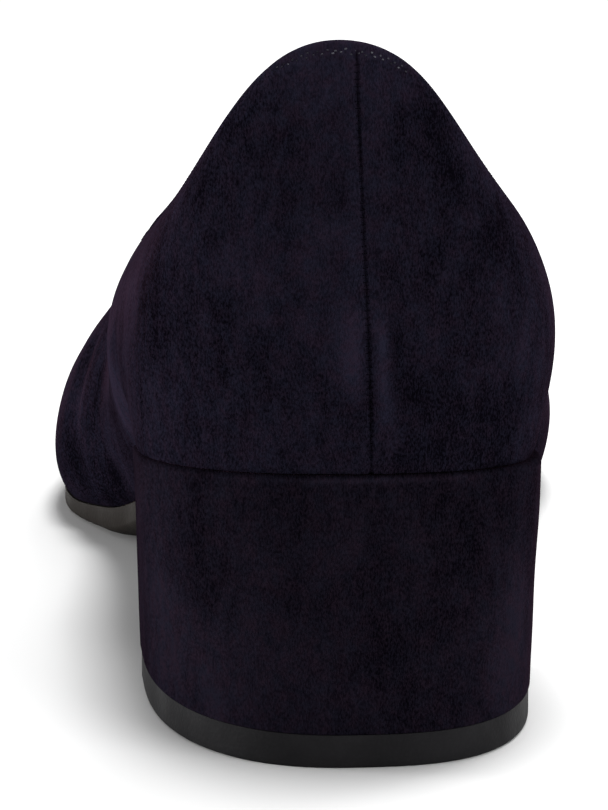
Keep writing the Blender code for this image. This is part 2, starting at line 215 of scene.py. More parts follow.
# Grid counts
SEAM_COLUMNS = 41
SEAM_SPAN = 0.25          # stations on either side of the back seam that have fine columns
OTHER_COLUMNS = 372
WALL_ROWS = 84
TOP_ROWS = 30
TOP_SHARE = 0.9           # share of a spoke where the fine rows near the topline start
FOLD_POINTS = 7
LINING_ROWS = 48
BACK_COLUMNS = 170
SIDE_COLUMNS = 16
CORNER_COLUMNS = 8
BREAST_COLUMNS = 60
HEEL_ROWS = 64
LIP_POINTS = 7
SOLE_ROWS = 300
SOLE_ACROSS = 33
EDGE_POINTS = 6
SOCK_ROWS = 120
SOCK_ACROSS = 25
STITCH_RINGS = 7
STITCH_SIDES = 8
CREASE_STEPS = 40
HEEL_BACK_POINTS = 600
OUTLINE_POINTS = 1200
WALL_PLAN_POINTS = 600
WALL_PLAN_ROWS = 40
WALL_PLAN_SHARE = 0.3     # share of a spoke that the wall's plan is read from
TUCK_RINGS = 5
LIFT_ROWS = 8
LIFT_EDGE_RINGS = 6

# Edges that turn by more than this many degrees stay sharp
SHARP_SOFT = 60.0
SHARP_BLOCK = 50.0
SHARP_SOLE = 40.0

# The upper, in millimetres. Where a name holds two numbers, an effect fades in from one to the other.
TUCK_HEIGHT = 1.0         # the suede turns in under the shoe over this height
TUCK_DEPTH = 0.30
FOOT_DROP = 0.22          # and comes down almost onto the sole and the heel
SEAM_RIDGE = 0.22         # seam allowances lift the suede beside the back seam
SEAM_RIDGE_AWAY = 2.0
SEAM_RIDGE_WIDTH = 1.1
SEAM_BELOW_TOP = (0.3, 1.6)       # the seam's groove and ridge, below the topline
CREASE_BELOW_TOP = (0.5, 6.0)     # creases and waves, below the topline
CREASE_ABOVE_FOOT = (0.0, 4.0)    # and above the sole line
CREASE_LIP = 0.4          # a crease throws up a lip on both sides: its height as a share of the depth
CREASE_LIP_AWAY = 2.0     # and its distance in widths
STITCH_TROUGH = 0.07      # the row of stitches pulls the topline in
STITCH_TROUGH_WIDTH = 0.55
EDGE_PUFF = 0.04          # and the folded edge above it puffs out
EDGE_PUFF_AT = 0.35
THIN_BELOW_TOP = (1.3, 2.2)   # the folded edge is as thick as the wall, and the suede is thinner below
RIM_SHEEN = 0.30           # painted sheen makes the folded topline lighter
RIM_REACH = 1.4
LINING_CLEARANCE = 0.05
LINING_FOOT = 0.6         # the lining stops this far above the sole line
LINING_EDGE = 0.25        # rounding of its upper edge

# Stitches, in millimetres
STITCH_SEED = 11
STITCH_ARCH = 0.20        # how far a topline stitch dives in at its ends
STITCH_RISE = 0.05        # share of that by which its middle stands up
STITCH_TAPER = 0.9        # how far the thread thins at its ends
STITCH_SHIFT = 0.32       # uneven hand: how far a topline stitch lies off the row
STITCH_ZIGZAG = 0.7       # share of that by which stitches lie to either side in turn
STITCH_STRAY = 0.5        # and share of it by which they stray
STITCH_ALONG = 0.35       # how far a stitch strays along the row, as a share of the pitch
STITCH_TURN = 0.45        # and how far it turns, in radians
STITCH_STRETCH = (0.7, 1.15)  # shortest and longest stitch, as shares of the usual length
GLINT_LOW = 96.3          # the stitches catch the light on top of the collar, above these heights
GLINT_HIGH = 98.2
GLINT_RANGE = (0.1, 1.0)  # faintest and brightest glint
SEAM_STITCH = 1.0         # length of thread across the back seam
SEAM_PITCH = 1.0
SEAM_THREAD = 0.42        # its thickness as a share of the topline thread's
SEAM_ARCH = 0.12
SEAM_STRETCH = (0.8, 1.2)     # shortest and longest, as shares of that length
SEAM_TOP_END = 2.2        # the threads stop this far below the topline
SEAM_FOOT_END = 1.2       # and this far above the sole line

# Heel cover and top lift, in millimetres
HEEL_CORNER = 1.6
HEEL_TUCK = 0.18
HEEL_FOOT_GAP = 0.08
HEEL_FOOT_HEIGHT = LIFT_THICKNESS + HEEL_FOOT_GAP
HEEL_WAVE_LOW = LIFT_THICKNESS + 1.0      # the suede's unevenness sets in between these heights
HEEL_WAVE_HIGH = LIFT_THICKNESS + 6.0
HEEL_RIM_HIGHLIGHT = 0.45      # painted highlight along the cover's folded edge at the back, just below the upper
HEEL_RIM_BELOW = 1.0
HEEL_RIM_WIDTH = 0.4
HEEL_RIM_REACH = 14.0
LIFT_TOP_EDGE = 0.06
LIFT_TOP_BEND = 0.3       # share of the top edge's rounding at its middle point
LIFT_LOW_EDGE = 0.45

# Outsole and insole, in millimetres. Two numbers in a name say where an effect fades in.
SOLE_EDGE = 0.9           # rounding of the sole's lower edge
SOLE_EDGE_SHARE = 0.25    # which takes at most this share of the sole's width
SOLE_SEAT_GAP = 0.25
ROLL_Y = 140.0            # the edge rolls in under the shank round here
ROLL_REACH = 14.0
ROLL_IN = 5.5
ROLL_UP = 0.9
TREAD_PITCH = 3.2
TREAD_MARGIN = 7.0
TREAD_MARGIN_FADE = 1.0
TREAD_BACK_Y = (140.0, 143.0)
TREAD_FRONT_Y = (222.0, 226.0)    # the ribs fade out here
RIB_FLANK = (0.45, 0.75)          # shares of a rib's wave
PAD_RISE = 0.7            # soft heel pad under the sock
PAD_MARGIN = (4.0, 9.0)
PAD_BACK_START = 4.0      # from the sock's back edge
PAD_BACK_END = 12.0
PAD_FRONT_Y = 62.0
PAD_FRONT_FADE = 8.0
SOCK_EDGE = 0.5           # the sock's edge dips by this much
SOCK_EDGE_WIDTH = 0.8
SOCK_CLEARANCE = 0.2      # and stops this far from the wall

# Finishes. Nap and grain are built from layers of noise, each read between a low and a high value.
NapLayer = namedtuple("NapLayer", "name per_metre detail roughness low high")
BLOTCHES = NapLayer("blotches", 70.0, 3.0, 0.55, 0.33, 0.67)
MOTTLE = NapLayer("mottle", 260.0, 5.0, 0.74, 0.32, 0.68)
FIBRES = NapLayer("fibres", 5000.0, 2.0, 0.60, 0.30, 0.70)
HUES = NapLayer("hues", 420.0, 5.0, 0.80, 0.36, 0.66)
CLOUD = NapLayer("leather and rubber cloud", 90.0, 4.0, 0.60, 0.35, 0.65)
BLOTCH_SWING = 0.11       # how far each layer makes the nap lighter or darker
MOTTLE_SWING = 0.14
FIBRE_SWING = 0.27
NAP_LEVEL = 0.35          # lightness of nap that no layer changes
BRUSHED = (1.0, 1.0, 0.6)     # blotches and mottle are stretched upwards
COMBED = (1.0, 0.22, 0.42)    # and fibres along the shoe and upwards
FIBRE_LOW = 0.2
FIBRE_HIGH = 0.8
NAP_SMOOTH = 0.86
NAP_ROUGH = 1.0
MOTTLE_RELIEF = 0.8
SHEEN_WEIGHT = 0.032
SHEEN_ROUGHNESS = 0.2
PORE_LOW = 0.05
PORE_HIGH = 0.75
PORE_SHARE = 0.35         # pores and cloud share the shade of leather and rubber
CLOUD_SHARE = 0.65
Grain = namedtuple("Grain", "name per_metre smooth rough specular")
LINING_GRAIN = Grain("lining", 1400.0, 0.50, 0.68, 0.20)
SOCK_GRAIN = Grain("sock", 1100.0, 0.50, 0.68, 0.20)
LIFT_GRAIN = Grain("top lift", 1800.0, 0.50, 0.62, 0.05)
SOLE_GRAIN = Grain("outsole", 1500.0, 0.55, 0.70, 0.08)
THREAD_GRAIN = Grain("thread", 5200.0, 0.45, 0.70, 0.0)
Relief = namedtuple("Relief", "name strength depth")
SUEDE_RELIEF = Relief("suede", 0.60, 0.14)
GRAIN_RELIEF = Relief("leather and rubber", 0.35, 0.06)
THREAD_RELIEF = Relief("thread", 0.35, 0.04)
TONE = "tone"             # mesh attribute that holds how light the nap is, painted sheen, highlights and shade included, and the thread's painted glint
BLACK = (0.0, 0.0, 0.0, 1.0)
FINISH_OUTPUTS = [
    ("Color", "NodeSocketColor"),
    ("Roughness", "NodeSocketFloat"),
    ("Height", "NodeSocketFloat"),
]

# Stage, in metres
FLOOR_SIZE = 2.4
FLOOR_FADE_START = 0.60   # the floor fades into the white surroundings from this far out
FLOOR_FADE_END = 1.00     # to this far out, so that no edge shows from any side
FLOOR_ROUGHNESS = 0.9
SENSOR = 36.0             # millimetres
LIGHT_TARGET = (0.0, -0.05, 0.03)

# Square soft lights: place and size in metres, power in watts
Light = namedtuple("Light", "name x y z size power")
LIGHTS = [
    Light("key_light", 0.05, 0.09, 1.30, 0.36, 12.0),
    Light("back_light", 0.45, 0.78, 1.07, 0.90, 10.0),
    Light("front_light", 0.95, -1.05, 0.75, 1.00, 9.5),
    Light("side_light", -1.30, 0.25, 0.18, 0.30, 11.0),
]


def metres(size):
    """A size in millimetres as Blender's properties hold it."""
    return size * MM


def length(name, description, size):
    """A property for a length, from its size in millimetres."""
    return bpy.props.FloatProperty(name=name, description=description, default=metres(size),
                                   unit="LENGTH")


def colour(name, description, *values):
    """A property for a colour, from its red, green and blue."""
    return bpy.props.FloatVectorProperty(name=name, description=description, subtype="COLOR", size=3,
                                         min=0.0, max=1.0, default=values)


def angle(name, description, degrees):
    """A property for an angle, from its degrees."""
    return bpy.props.FloatProperty(name=name, description=description, default=math.radians(degrees),
                                   subtype="ANGLE")


def number(name, description, default):
    """A property for a plain number."""
    return bpy.props.FloatProperty(name=name, description=description, default=default)


class PumpSizes(bpy.types.PropertyGroup):
    """Sizes of the seams, folds and linings."""

    suede: length("Suede", "Thickness of the upper's suede", 1.0)
    lining_set_down: length(
        "Lining set-down", "Topline edge to the lining's edge, inside the shoe", 1.9)
    stitch_set_down: length("Stitch set-down", "Topline edge to the row of stitches", 1.05)
    stitch_pitch: length("Stitch pitch", "From one topline stitch to the next", 0.64)
    stitch_length: length("Stitch length", "Usual length of a topline stitch", 0.52)
    thread: length("Thread", "Radius of the topline thread", 0.12)
    seam_depth: length("Back seam depth", "Depth of the groove where the two quarters meet", 0.45)
    seam_width: length("Back seam width", "Half the width of that groove", 0.24)
    lip: length("Heel lip", "Rounding of the folded suede edge round the heel's top", 0.8)
    tread_depth: length("Tread depth", "Depth of the fine ribs under the sole", 0.3)


class PumpColours(bpy.types.PropertyGroup):
    """Colours of the finishes."""

    suede_dark: colour("Suede dark", "Upper's suede where the nap lies away", 0.0020, 0.0016, 0.0031)
    suede_light: colour("Suede light", "Upper's suede where the nap stands up", 0.0152, 0.0145, 0.0272)
    suede_rose: colour(
        "Suede rose", "Upper's suede where the raised nap turns to rose", 0.0204, 0.0136, 0.0252)
    heel_dark: colour("Heel suede dark", "Heel's suede where the nap lies away", 0.0017, 0.0013, 0.0025)
    heel_light: colour(
        "Heel suede light", "Heel's suede where the nap stands up", 0.0120, 0.0108, 0.0190)
    heel_rose: colour(
        "Heel suede rose", "Heel's suede where the raised nap turns to rose", 0.0168, 0.0108, 0.0186)
    sheen: colour("Sheen", "Tint of the suede's soft sheen", 0.76, 0.36, 0.60)
    lining: colour("Lining", "Lining leather and sock", 0.225, 0.176, 0.142)
    lining_shade: colour("Lining shade", "Pores and clouds of the lining leather", 0.195, 0.152, 0.122)
    topline_thread: colour(
        "Topline thread", "Topline stitches on the collar's slopes", 0.0060, 0.0050, 0.0090)
    thread: colour("Thread glint", "Topline stitches where they catch the light", 0.150, 0.150, 0.175)
    seam_thread: colour("Seam thread", "Dark thread across the back seam", 0.0022, 0.0018, 0.0030)
    sole: colour("Sole", "Outsole", 0.0202, 0.0166, 0.0142)
    sole_shade: colour("Sole shade", "Darker flecks of the outsole", 0.0176, 0.0145, 0.0124)
    lift: colour("Top lift", "Top lift under the heel", 0.0180, 0.0175, 0.0190)
    lift_shade: colour("Top lift shade", "Darker flecks of the top lift", 0.0128, 0.0124, 0.0136)
    floor: colour("Floor", "Pale floor", 0.90, 0.90, 0.90)


class PumpStage(bpy.types.PropertyGroup):
    """Camera and lights. The camera's place is measured from the back of the heel on the floor."""

    camera_distance: length("Camera distance", "Camera behind the heel, along the floor", 640.0)
    camera_height: length("Camera height", "Camera above the floor", 184.0)
    camera_aside: length("Camera aside", "Camera to the left of the heel's middle", 9.0)
    camera_turn: angle("Camera turn", "Turn round the heel, from straight behind", -5.0)
    camera_tilt: angle("Camera tilt", "How far the camera looks down", 11.68)
    focal_pixels: number("Focal length", "Focal length in pixels of the picture", 4740.0)
    sky: number("Sky", "Brightness of the white surroundings", 0.28)
    brightness: number("Brightness", "Factor on the power of all the lights", 1.0)


def monotone_curve(knots, values):
    """Smooth curve through the rows of a table that never overshoots them."""
    knots = np.array(knots)
    values = np.array(values)
    steps = np.diff(knots)
    slopes = np.diff(values) / steps
    tangents = np.zeros(len(knots))
    tangents[0] = slopes[0]
    tangents[-1] = slopes[-1]
    for i in range(1, len(knots) - 1):
        if slopes[i - 1] * slopes[i] > 0.0:
            near = 2.0 * steps[i] + steps[i - 1]
            far = steps[i] + 2.0 * steps[i - 1]
            tangents[i] = (near + far) / (near / slopes[i - 1] + far / slopes[i])

    def curve(at):
        span = np.clip(np.searchsorted(knots, at) - 1, 0, len(steps) - 1)
        t = (at - knots[span]) / steps[span]
        rise = values[span + 1] - values[span]
        start = tangents[span] * steps[span]
        end = tangents[span + 1] * steps[span]
        square = 3.0 * rise - 2.0 * start - end
        cube = start + end - 2.0 * rise
        return values[span] + t * (start + t * (square + t * cube))

    return curve


seat_z = monotone_curve([row.y for row in SOLE_LINE], [row.seat_z for row in SOLE_LINE])
base_z = monotone_curve([row.y for row in SOLE_LINE], [row.base_z for row in SOLE_LINE])


def closed_spline(values, lengths):
    """Smooth closed curve through the rows of values, as a function of places in stations."""
    count = len(values)
    system = np.zeros((count, count))
    target = np.zeros_like(values)
    for i in range(count):
        before = (i - 1) % count
        after = (i + 1) % count
        system[i, before] = lengths[before]
        system[i, i] = 2.0 * (lengths[before] + lengths[i])
        system[i, after] = lengths[i]
        rise_after = (values[after] - values[i]) / lengths[i]
        rise_before = (values[i] - values[before]) / lengths[before]
        target[i] = 6.0 * (rise_after - rise_before)
    bends = np.linalg.solve(system, target)

    def curve(places):
        span = np.floor(places).astype(int)
        t = (places - span)[:, None]
        s = 1.0 - t
        here = span % count
        after = (here + 1) % count
        bend = (s ** 3 - s) * bends[here] + (t ** 3 - t) * bends[after]
        return s * values[here] + t * values[after] + bend * lengths[here][:, None] ** 2 / 6.0

    return curve


STATION_TABLE = np.array([row[1:] for row in STATIONS])
EDGE_TABLE = STATION_TABLE[:, :2]
EDGE_LENGTHS = np.linalg.norm(np.roll(EDGE_TABLE, -1, axis=0) - EDGE_TABLE, axis=1)
edge_curve = closed_spline(EDGE_TABLE, EDGE_LENGTHS)
spoke_curve = closed_spline(STATION_TABLE[:, 2:], np.ones(len(STATIONS)))


def stations_at(places):
    """The station table's columns at places round the shoe."""
    return Station("between", *np.hstack([edge_curve(places), spoke_curve(places)]).T)


def edge_normals(places):
    """Plan normals of the sole line, pointing out of the shoe."""
    step = 0.01
    along = edge_curve(places + step) - edge_curve(places - step)
    along = along / np.linalg.norm(along, axis=1, keepdims=True)
    return np.column_stack([-along[:, 1], along[:, 0], np.zeros(len(places))])


def upper_points(places, shares):
    """Outer face of the upper: a grid of points with a column for each place and a row for each share."""
    loop = stations_at(places)
    out = edge_normals(places)
    up = np.array([0.0, 0.0, 1.0])
    foot = np.column_stack([loop.edge_x, loop.edge_y, seat_z(loop.edge_y)])
    top = np.column_stack([loop.top_x, loop.top_y, loop.top_z])
    low = foot + out * loop.low_out[:, None] + up * loop.low_up[:, None]
    high = top + out * loop.top_out[:, None] - up * loop.top_down[:, None]
    t = np.asarray(shares)[None, :, None]
    s = 1.0 - t
    rising = s ** 3 * foot[:, None] + 3.0 * s * s * t * low[:, None]
    closing = 3.0 * s * t * t * high[:, None] + t ** 3 * top[:, None]
    return rising + closing


def grid_normals(grid):
    """Unit normals of the upper's grid, pointing out of the shoe."""
    along = np.roll(grid, -1, axis=0) - np.roll(grid, 1, axis=0)
    rise = np.gradient(grid, axis=1)
    normals = np.cross(rise, along)
    return normals / np.linalg.norm(normals, axis=2, keepdims=True)


def unit(vectors):
    """Vectors at length 1."""
    return vectors / np.linalg.norm(vectors, axis=-1, keepdims=True)


def bell(distance, width):
    """Soft rounded profile that is 1 in the middle and fades over width."""
    return np.exp(-(distance / width) ** 2)


def ramp(value, start, end):
    """0 before start, 1 after end and smooth between."""
    share = np.clip((value - start) / (end - start), 0.0, 1.0)
    return share * share * (3.0 - 2.0 * share)


def waves(points):
    """Slow unevenness of lasted suede at points of the shoe."""
    total = np.zeros(points.shape[:-1])
    for wave in WAVES:
        lengths = np.array([wave.length_x, wave.length_y, wave.length_z])
        total += wave.height * np.sin((points / lengths).sum(axis=-1) * 2.0 * math.pi + wave.phase)
    return total


def crease_relief(grid):
    """Depth of the pull creases over the upper's grid: troughs down, ridges up, fading at their ends."""
    relief = np.zeros(grid.shape[:2])
    for crease in CREASES:
        stops = np.array(crease.route)
        fine = np.linspace(0.0, len(stops) - 1.0, CREASE_STEPS)
        places = np.interp(fine, np.arange(len(stops)), stops[:, 0])
        shares = np.interp(fine, np.arange(len(stops)), stops[:, 1])
        line = np.array([upper_points(np.array([p]), [s])[0, 0] for p, s in zip(places, shares)])
        nearest = np.full(relief.shape, np.inf)
        fade = np.zeros(relief.shape)
        for i, point in enumerate(line):
            distance = np.linalg.norm(grid - point, axis=2)
            closer = distance < nearest
            nearest[closer] = distance[closer]
            fade[closer] = math.sin(math.pi * (i + 0.5) / len(line))
        lip = bell(nearest - CREASE_LIP_AWAY * crease.width, crease.width)
        trough = bell(nearest, crease.width) - CREASE_LIP * lip
        relief -= crease.depth * trough * np.sqrt(fade)
    return relief


def patches(points, table):
    """How light or dark the suede is painted at points of the shoe, from nap and from painted sheen and
    shade.
    """
    total = np.zeros(points.shape[:-1])
    for patch in table:
        distance = np.linalg.norm(points - np.array([patch.x, patch.y, patch.z]), axis=-1)
        total += patch.strength * bell(distance, patch.reach)
    return total


def streaks(points, seam):
    """How much lighter the suede is in the streaks beside the back seam: rubbed nap and painted highlight.
    """
    total = np.zeros(points.shape[:-1])
    aside = points[..., 0] - seam[None, :, 0]
    height = points[..., 2]
    at_back = points[..., 1] < STREAK_BACK
    for streak in SEAM_STREAKS:
        ends = ramp(height, streak.low, streak.low + STREAK_END)
        ends = ends * (1.0 - ramp(height, streak.high - STREAK_END, streak.high))
        total += streak.strength * bell(aside - streak.aside, streak.width) * ends * at_back
    return total


UpperSkin = namedtuple("UpperSkin", "base normals face from_top from_foot")


def upper_skin(sizes):
    """The upper's outer face with its seam, creases, tucked foot and stitched topline."""
    fine = np.linspace(-SEAM_SPAN, SEAM_SPAN, SEAM_COLUMNS)
    rest = np.linspace(SEAM_SPAN, len(STATIONS) - SEAM_SPAN, OTHER_COLUMNS + 2)[1:-1]
    places = np.concatenate([fine, rest])
    low_shares = np.linspace(0.0, TOP_SHARE, WALL_ROWS)
    top_shares = np.linspace(TOP_SHARE, 1.0, TOP_ROWS + 1)[1:]
    base = upper_points(places, np.concatenate([low_shares, top_shares]))
    normals = grid_normals(base)
    steps = np.linalg.norm(np.diff(base, axis=1), axis=2)
    from_foot = np.concatenate([np.zeros((len(base), 1)), np.cumsum(steps, axis=1)], axis=1)
    from_top = from_foot[:, -1:] - from_foot
    seam = base[SEAM_COLUMNS // 2]
    seam_distance = np.linalg.norm(base - seam[None], axis=2)
    groove = -sizes.seam_depth / MM * bell(seam_distance, sizes.seam_width / MM)
    ridge = SEAM_RIDGE * bell(seam_distance - SEAM_RIDGE_AWAY, SEAM_RIDGE_WIDTH)
    relief = (groove + ridge) * ramp(from_top, *SEAM_BELOW_TOP)
    uneven = crease_relief(base) + waves(base)
    relief += uneven * ramp(from_top, *CREASE_BELOW_TOP) * ramp(from_foot, *CREASE_ABOVE_FOOT)
    relief -= TUCK_DEPTH * np.clip(1.0 - from_foot / TUCK_HEIGHT, 0.0, 1.0) ** 2
    relief -= STITCH_TROUGH * bell(from_top - sizes.stitch_set_down / MM, STITCH_TROUGH_WIDTH)
    relief += EDGE_PUFF * bell(from_top - EDGE_PUFF_AT, STITCH_TROUGH_WIDTH)
    face = base + normals * relief[:, :, None]
    face[:, 0, 2] -= FOOT_DROP
    return UpperSkin(base, normals, face, from_top, from_foot)


def level_row(skin, points, below_top):
    """Points of a grid below the topline, one to a column, at one distance or at one for each column."""
    below = np.broadcast_to(below_top, len(points))
    row = np.empty((len(points), 3))
    for i, column in enumerate(points):
        for axis in range(3):
            row[i, axis] = np.interp(-below[i], -skin.from_top[i], column[:, axis])
    return row


# Where the heel's frame lies in the row's frame, from the top lift's box
LIFT_LOW, LIFT_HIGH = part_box("top_lift")
HEEL_FRAME = np.array([
    0.5 * (LIFT_LOW.x + LIFT_HIGH.x) - metres(HEEL_FOOT.middle_x),
    LIFT_LOW.y - metres(HEEL_FOOT.back_y + LIFT_INSET),
    0.0,
])


def shell_faces(columns, rows, wrap_rows):
    """Quads of a grid whose columns close round the piece, and whose rows may close too."""
    i, j = np.meshgrid(np.arange(columns), np.arange(rows if wrap_rows else rows - 1), indexing="ij")
    i = i.ravel()
    j = j.ravel()
    right = (i + 1) % columns
    above = (j + 1) % rows
    return np.column_stack([i * rows + j, right * rows + j, right * rows + above, i * rows + above])


def solid_mesh(name, points, faces, caps, sharp_angle, tone=None):
    """A smooth mesh from millimetre points, turned outwards, with its tone stored on it."""
    points = np.asarray(points).reshape(-1, 3)
    corners = points[faces]
    fans = [np.cross(corners[:, 1] - corners[:, 0], corners[:, 2] - corners[:, 0]),
            np.cross(corners[:, 2] - corners[:, 0], corners[:, 3] - corners[:, 0])]
    middle = points.mean(axis=0)
    volume = sum(((corners[:, 0] - middle) * fan).sum() for fan in fans)
    polygons = faces.tolist() + [list(cap) for cap in caps]
    mesh = bpy.data.meshes.new(name)
    mesh.from_pydata((points * MM + HEEL_FRAME).tolist(), [], polygons)
    if volume < 0.0:
        mesh.flip_normals()
    if tone is not None:
        stored = mesh.attributes.new(TONE, "FLOAT", "POINT")
        stored.data.foreach_set("value", np.asarray(tone, dtype=np.float32).ravel())
    if mesh.validate():
        raise ValueError(f"{name} has faulty faces")
    mesh.shade_smooth()
    mesh.set_sharp_from_angle(angle=math.radians(sharp_angle))
    return mesh


def wall_mesh(name, wall, tone=None):
    """A mesh from a grid that closes both round the shoe and round the section of a wall."""
    faces = shell_faces(*wall.shape[:2], wrap_rows=True)
    return solid_mesh(name, wall, faces, [], SHARP_SOFT, tone)


def capped_mesh(name, grid, sharp_angle, tone=None):
    """A mesh from a grid of closed rings, with the first and the last ring capped."""
    columns, rows = grid.shape[:2]
    ring = np.arange(columns) * rows
    faces = shell_faces(columns, rows, wrap_rows=False)
    return solid_mesh(name, grid, faces, [ring, ring[::-1] + rows - 1], sharp_angle, tone)


def level_ring(plan, height):
    """A plan's points at one height."""
    return np.column_stack([plan, np.full(len(plan), height)])


def add_piece(name, mesh, material):
    """Put a mesh in the scene as a piece of the shoe."""
    piece = bpy.data.objects.new(name, mesh)
    mesh.materials.append(material)
    bpy.context.scene.collection.objects.link(piece)
    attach(piece, "root")
    return piece


def new_node(tree, kind, settings=None, **values):
    """A shader node with settings and the values of its named inputs."""
    node = tree.nodes.new(kind)
    for key, value in (settings or {}).items():
        setattr(node, key, value)
    for key, value in values.items():
        node.inputs[key.replace("_", " ")].default_value = value
    return node


def new_group(name, inputs, outputs):
    """An empty shader node group with named sockets, and its two end nodes."""
    group = bpy.data.node_groups.new(name, "ShaderNodeTree")
    for label, kind, default in inputs:
        socket = group.interface.new_socket(label, in_out="INPUT", socket_type=kind)
        socket.default_value = default
    for label, kind in outputs:
        group.interface.new_socket(label, in_out="OUTPUT", socket_type=kind)
    return group, group.nodes.new("NodeGroupInput"), group.nodes.new("NodeGroupOutput")


def blend_values(tree, first, second, operation, clamp=False):
    """A maths node on two sockets or numbers, held between 0 and 1 where it is clamped."""
    node = tree.nodes.new("ShaderNodeMath")
    node.operation = operation
    node.use_clamp = clamp
    for socket, value in zip(node.inputs, (first, second)):
        if isinstance(value, (int, float)):
            socket.default_value = value
        else:
            tree.links.new(value, socket)
    return node.outputs[0]


def noise(tree, vector, layer, density=None):
    """A layer's noise texture on a vector. A density socket takes the place of the layer's own number."""
    node = new_node(tree, "ShaderNodeTexNoise", Scale=layer.per_metre, Detail=layer.detail,
                    Roughness=layer.roughness)
    tree.links.new(vector, node.inputs["Vector"])
    if density is not None:
        tree.links.new(density, node.inputs["Scale"])
    return node.outputs["Fac"]


def spread(tree, value, low, high, new_low, new_high):
    """Map a value smoothly from one range to another."""
    node = tree.nodes.new("ShaderNodeMapRange")
    node.interpolation_type = "SMOOTHSTEP"
    for label, number in (("From Min", low), ("From Max", high), ("To Min", new_low), ("To Max", new_high)):
        node.inputs[label].default_value = number
    tree.links.new(value, node.inputs["Value"])
    return node.outputs["Result"]


def read_layer(tree, value, layer, low, high):
    """A layer's noise, spread from low to high between the layer's own two values."""
    return spread(tree, value, layer.low, layer.high, low, high)


def mix_colours(tree, factor, first, second):
    """Mix two colour sockets by a factor."""
    node = tree.nodes.new("ShaderNodeMix")
    node.data_type = "RGBA"
    tree.links.new(factor, node.inputs["Factor"])
    tree.links.new(first, node.inputs["A"])
    tree.links.new(second, node.inputs["B"])
    return node.outputs["Result"]


def suede_nap_group():
    """Nap of suede: blotches, mottling and fine fibres in lightness, hue, roughness and relief, with the
    Patch input added, which holds painted sheen and shade too.
    """
    group, start, end = new_group(
        "suede_nap",
        [("Dark", "NodeSocketColor", BLACK),
         ("Light", "NodeSocketColor", BLACK),
         ("Rose", "NodeSocketColor", BLACK),
         ("Patch", "NodeSocketFloat", 0.0),
         ("Blotches per metre", "NodeSocketFloat", BLOTCHES.per_metre),
         ("Fibres per metre", "NodeSocketFloat", FIBRES.per_metre)],
        FINISH_OUTPUTS)
    place = group.nodes.new("ShaderNodeTexCoord").outputs["Object"]
    brushed = new_node(group, "ShaderNodeMapping", Scale=BRUSHED)
    group.links.new(place, brushed.inputs["Vector"])
    combed = new_node(group, "ShaderNodeMapping", Scale=COMBED)
    group.links.new(place, combed.inputs["Vector"])
    blotches = noise(group, brushed.outputs["Vector"], BLOTCHES, start.outputs["Blotches per metre"])
    mottle = noise(group, brushed.outputs["Vector"], MOTTLE)
    fibres = noise(group, combed.outputs["Vector"], FIBRES, start.outputs["Fibres per metre"])
    hues = noise(group, place, HUES)
    shade = blend_values(group, read_layer(group, blotches, BLOTCHES, -BLOTCH_SWING, BLOTCH_SWING),
                         read_layer(group, mottle, MOTTLE, -MOTTLE_SWING, MOTTLE_SWING), "ADD")
    shade = blend_values(group, shade, read_layer(group, fibres, FIBRES, -FIBRE_SWING, FIBRE_SWING), "ADD")
    shade = blend_values(group, shade, start.outputs["Patch"], "ADD")
    factor = blend_values(group, shade, NAP_LEVEL, "ADD", clamp=True)
    lit = mix_colours(group, read_layer(group, hues, HUES, 0.0, 1.0),
                      start.outputs["Light"], start.outputs["Rose"])
    group.links.new(mix_colours(group, factor, start.outputs["Dark"], lit), end.inputs["Color"])
    roughness = spread(group, fibres, FIBRE_LOW, FIBRE_HIGH, NAP_SMOOTH, NAP_ROUGH)
    group.links.new(roughness, end.inputs["Roughness"])
    height = blend_values(group, fibres, blend_values(group, mottle, MOTTLE_RELIEF, "MULTIPLY"), "ADD")
    group.links.new(height, end.inputs["Height"])
    return group


def grain_group():
    """Fine grain of leather or moulded rubber: flecks in colour, roughness and relief."""
    group, start, end = new_group(
        "fine_grain",
        [("Base", "NodeSocketColor", BLACK),
         ("Shade", "NodeSocketColor", BLACK),
         ("Grains per metre", "NodeSocketFloat", LINING_GRAIN.per_metre),
         ("Smooth", "NodeSocketFloat", LINING_GRAIN.smooth),
         ("Rough", "NodeSocketFloat", LINING_GRAIN.rough)],
        FINISH_OUTPUTS)
    place = group.nodes.new("ShaderNodeTexCoord").outputs["Object"]
    pores = group.nodes.new("ShaderNodeTexVoronoi")
    group.links.new(place, pores.inputs["Vector"])
    group.links.new(start.outputs["Grains per metre"], pores.inputs["Scale"])
    cells = spread(group, pores.outputs["Distance"], PORE_LOW, PORE_HIGH, 0.0, 1.0)
    cloud = read_layer(group, noise(group, place, CLOUD), CLOUD, 0.0, 1.0)
    shade = blend_values(group, blend_values(group, cells, PORE_SHARE, "MULTIPLY"),
                         blend_values(group, cloud, CLOUD_SHARE, "MULTIPLY"), "ADD")
    group.links.new(mix_colours(group, shade, start.outputs["Base"], start.outputs["Shade"]),
                    end.inputs["Color"])
    roughness = group.nodes.new("ShaderNodeMapRange")
    group.links.new(cloud, roughness.inputs["Value"])
    group.links.new(start.outputs["Smooth"], roughness.inputs["To Min"])
    group.links.new(start.outputs["Rough"], roughness.inputs["To Max"])
    group.links.new(roughness.outputs["Result"], end.inputs["Roughness"])
    group.links.new(cells, end.inputs["Height"])
    return group


def shared_group(name, build):
    """A node group, built the first time that it is asked for."""
    group = bpy.data.node_groups.get(name)
    return group or build()


def opaque(rgb):
    """A colour with full alpha."""
    return (rgb[0], rgb[1], rgb[2], 1.0)


def stored_tone(tree):
    """Socket with the tone that is stored on the mesh."""
    return new_node(tree, "ShaderNodeAttribute", {"attribute_name": TONE}).outputs["Fac"]


Finish = namedtuple("Finish", "material tree shader group")


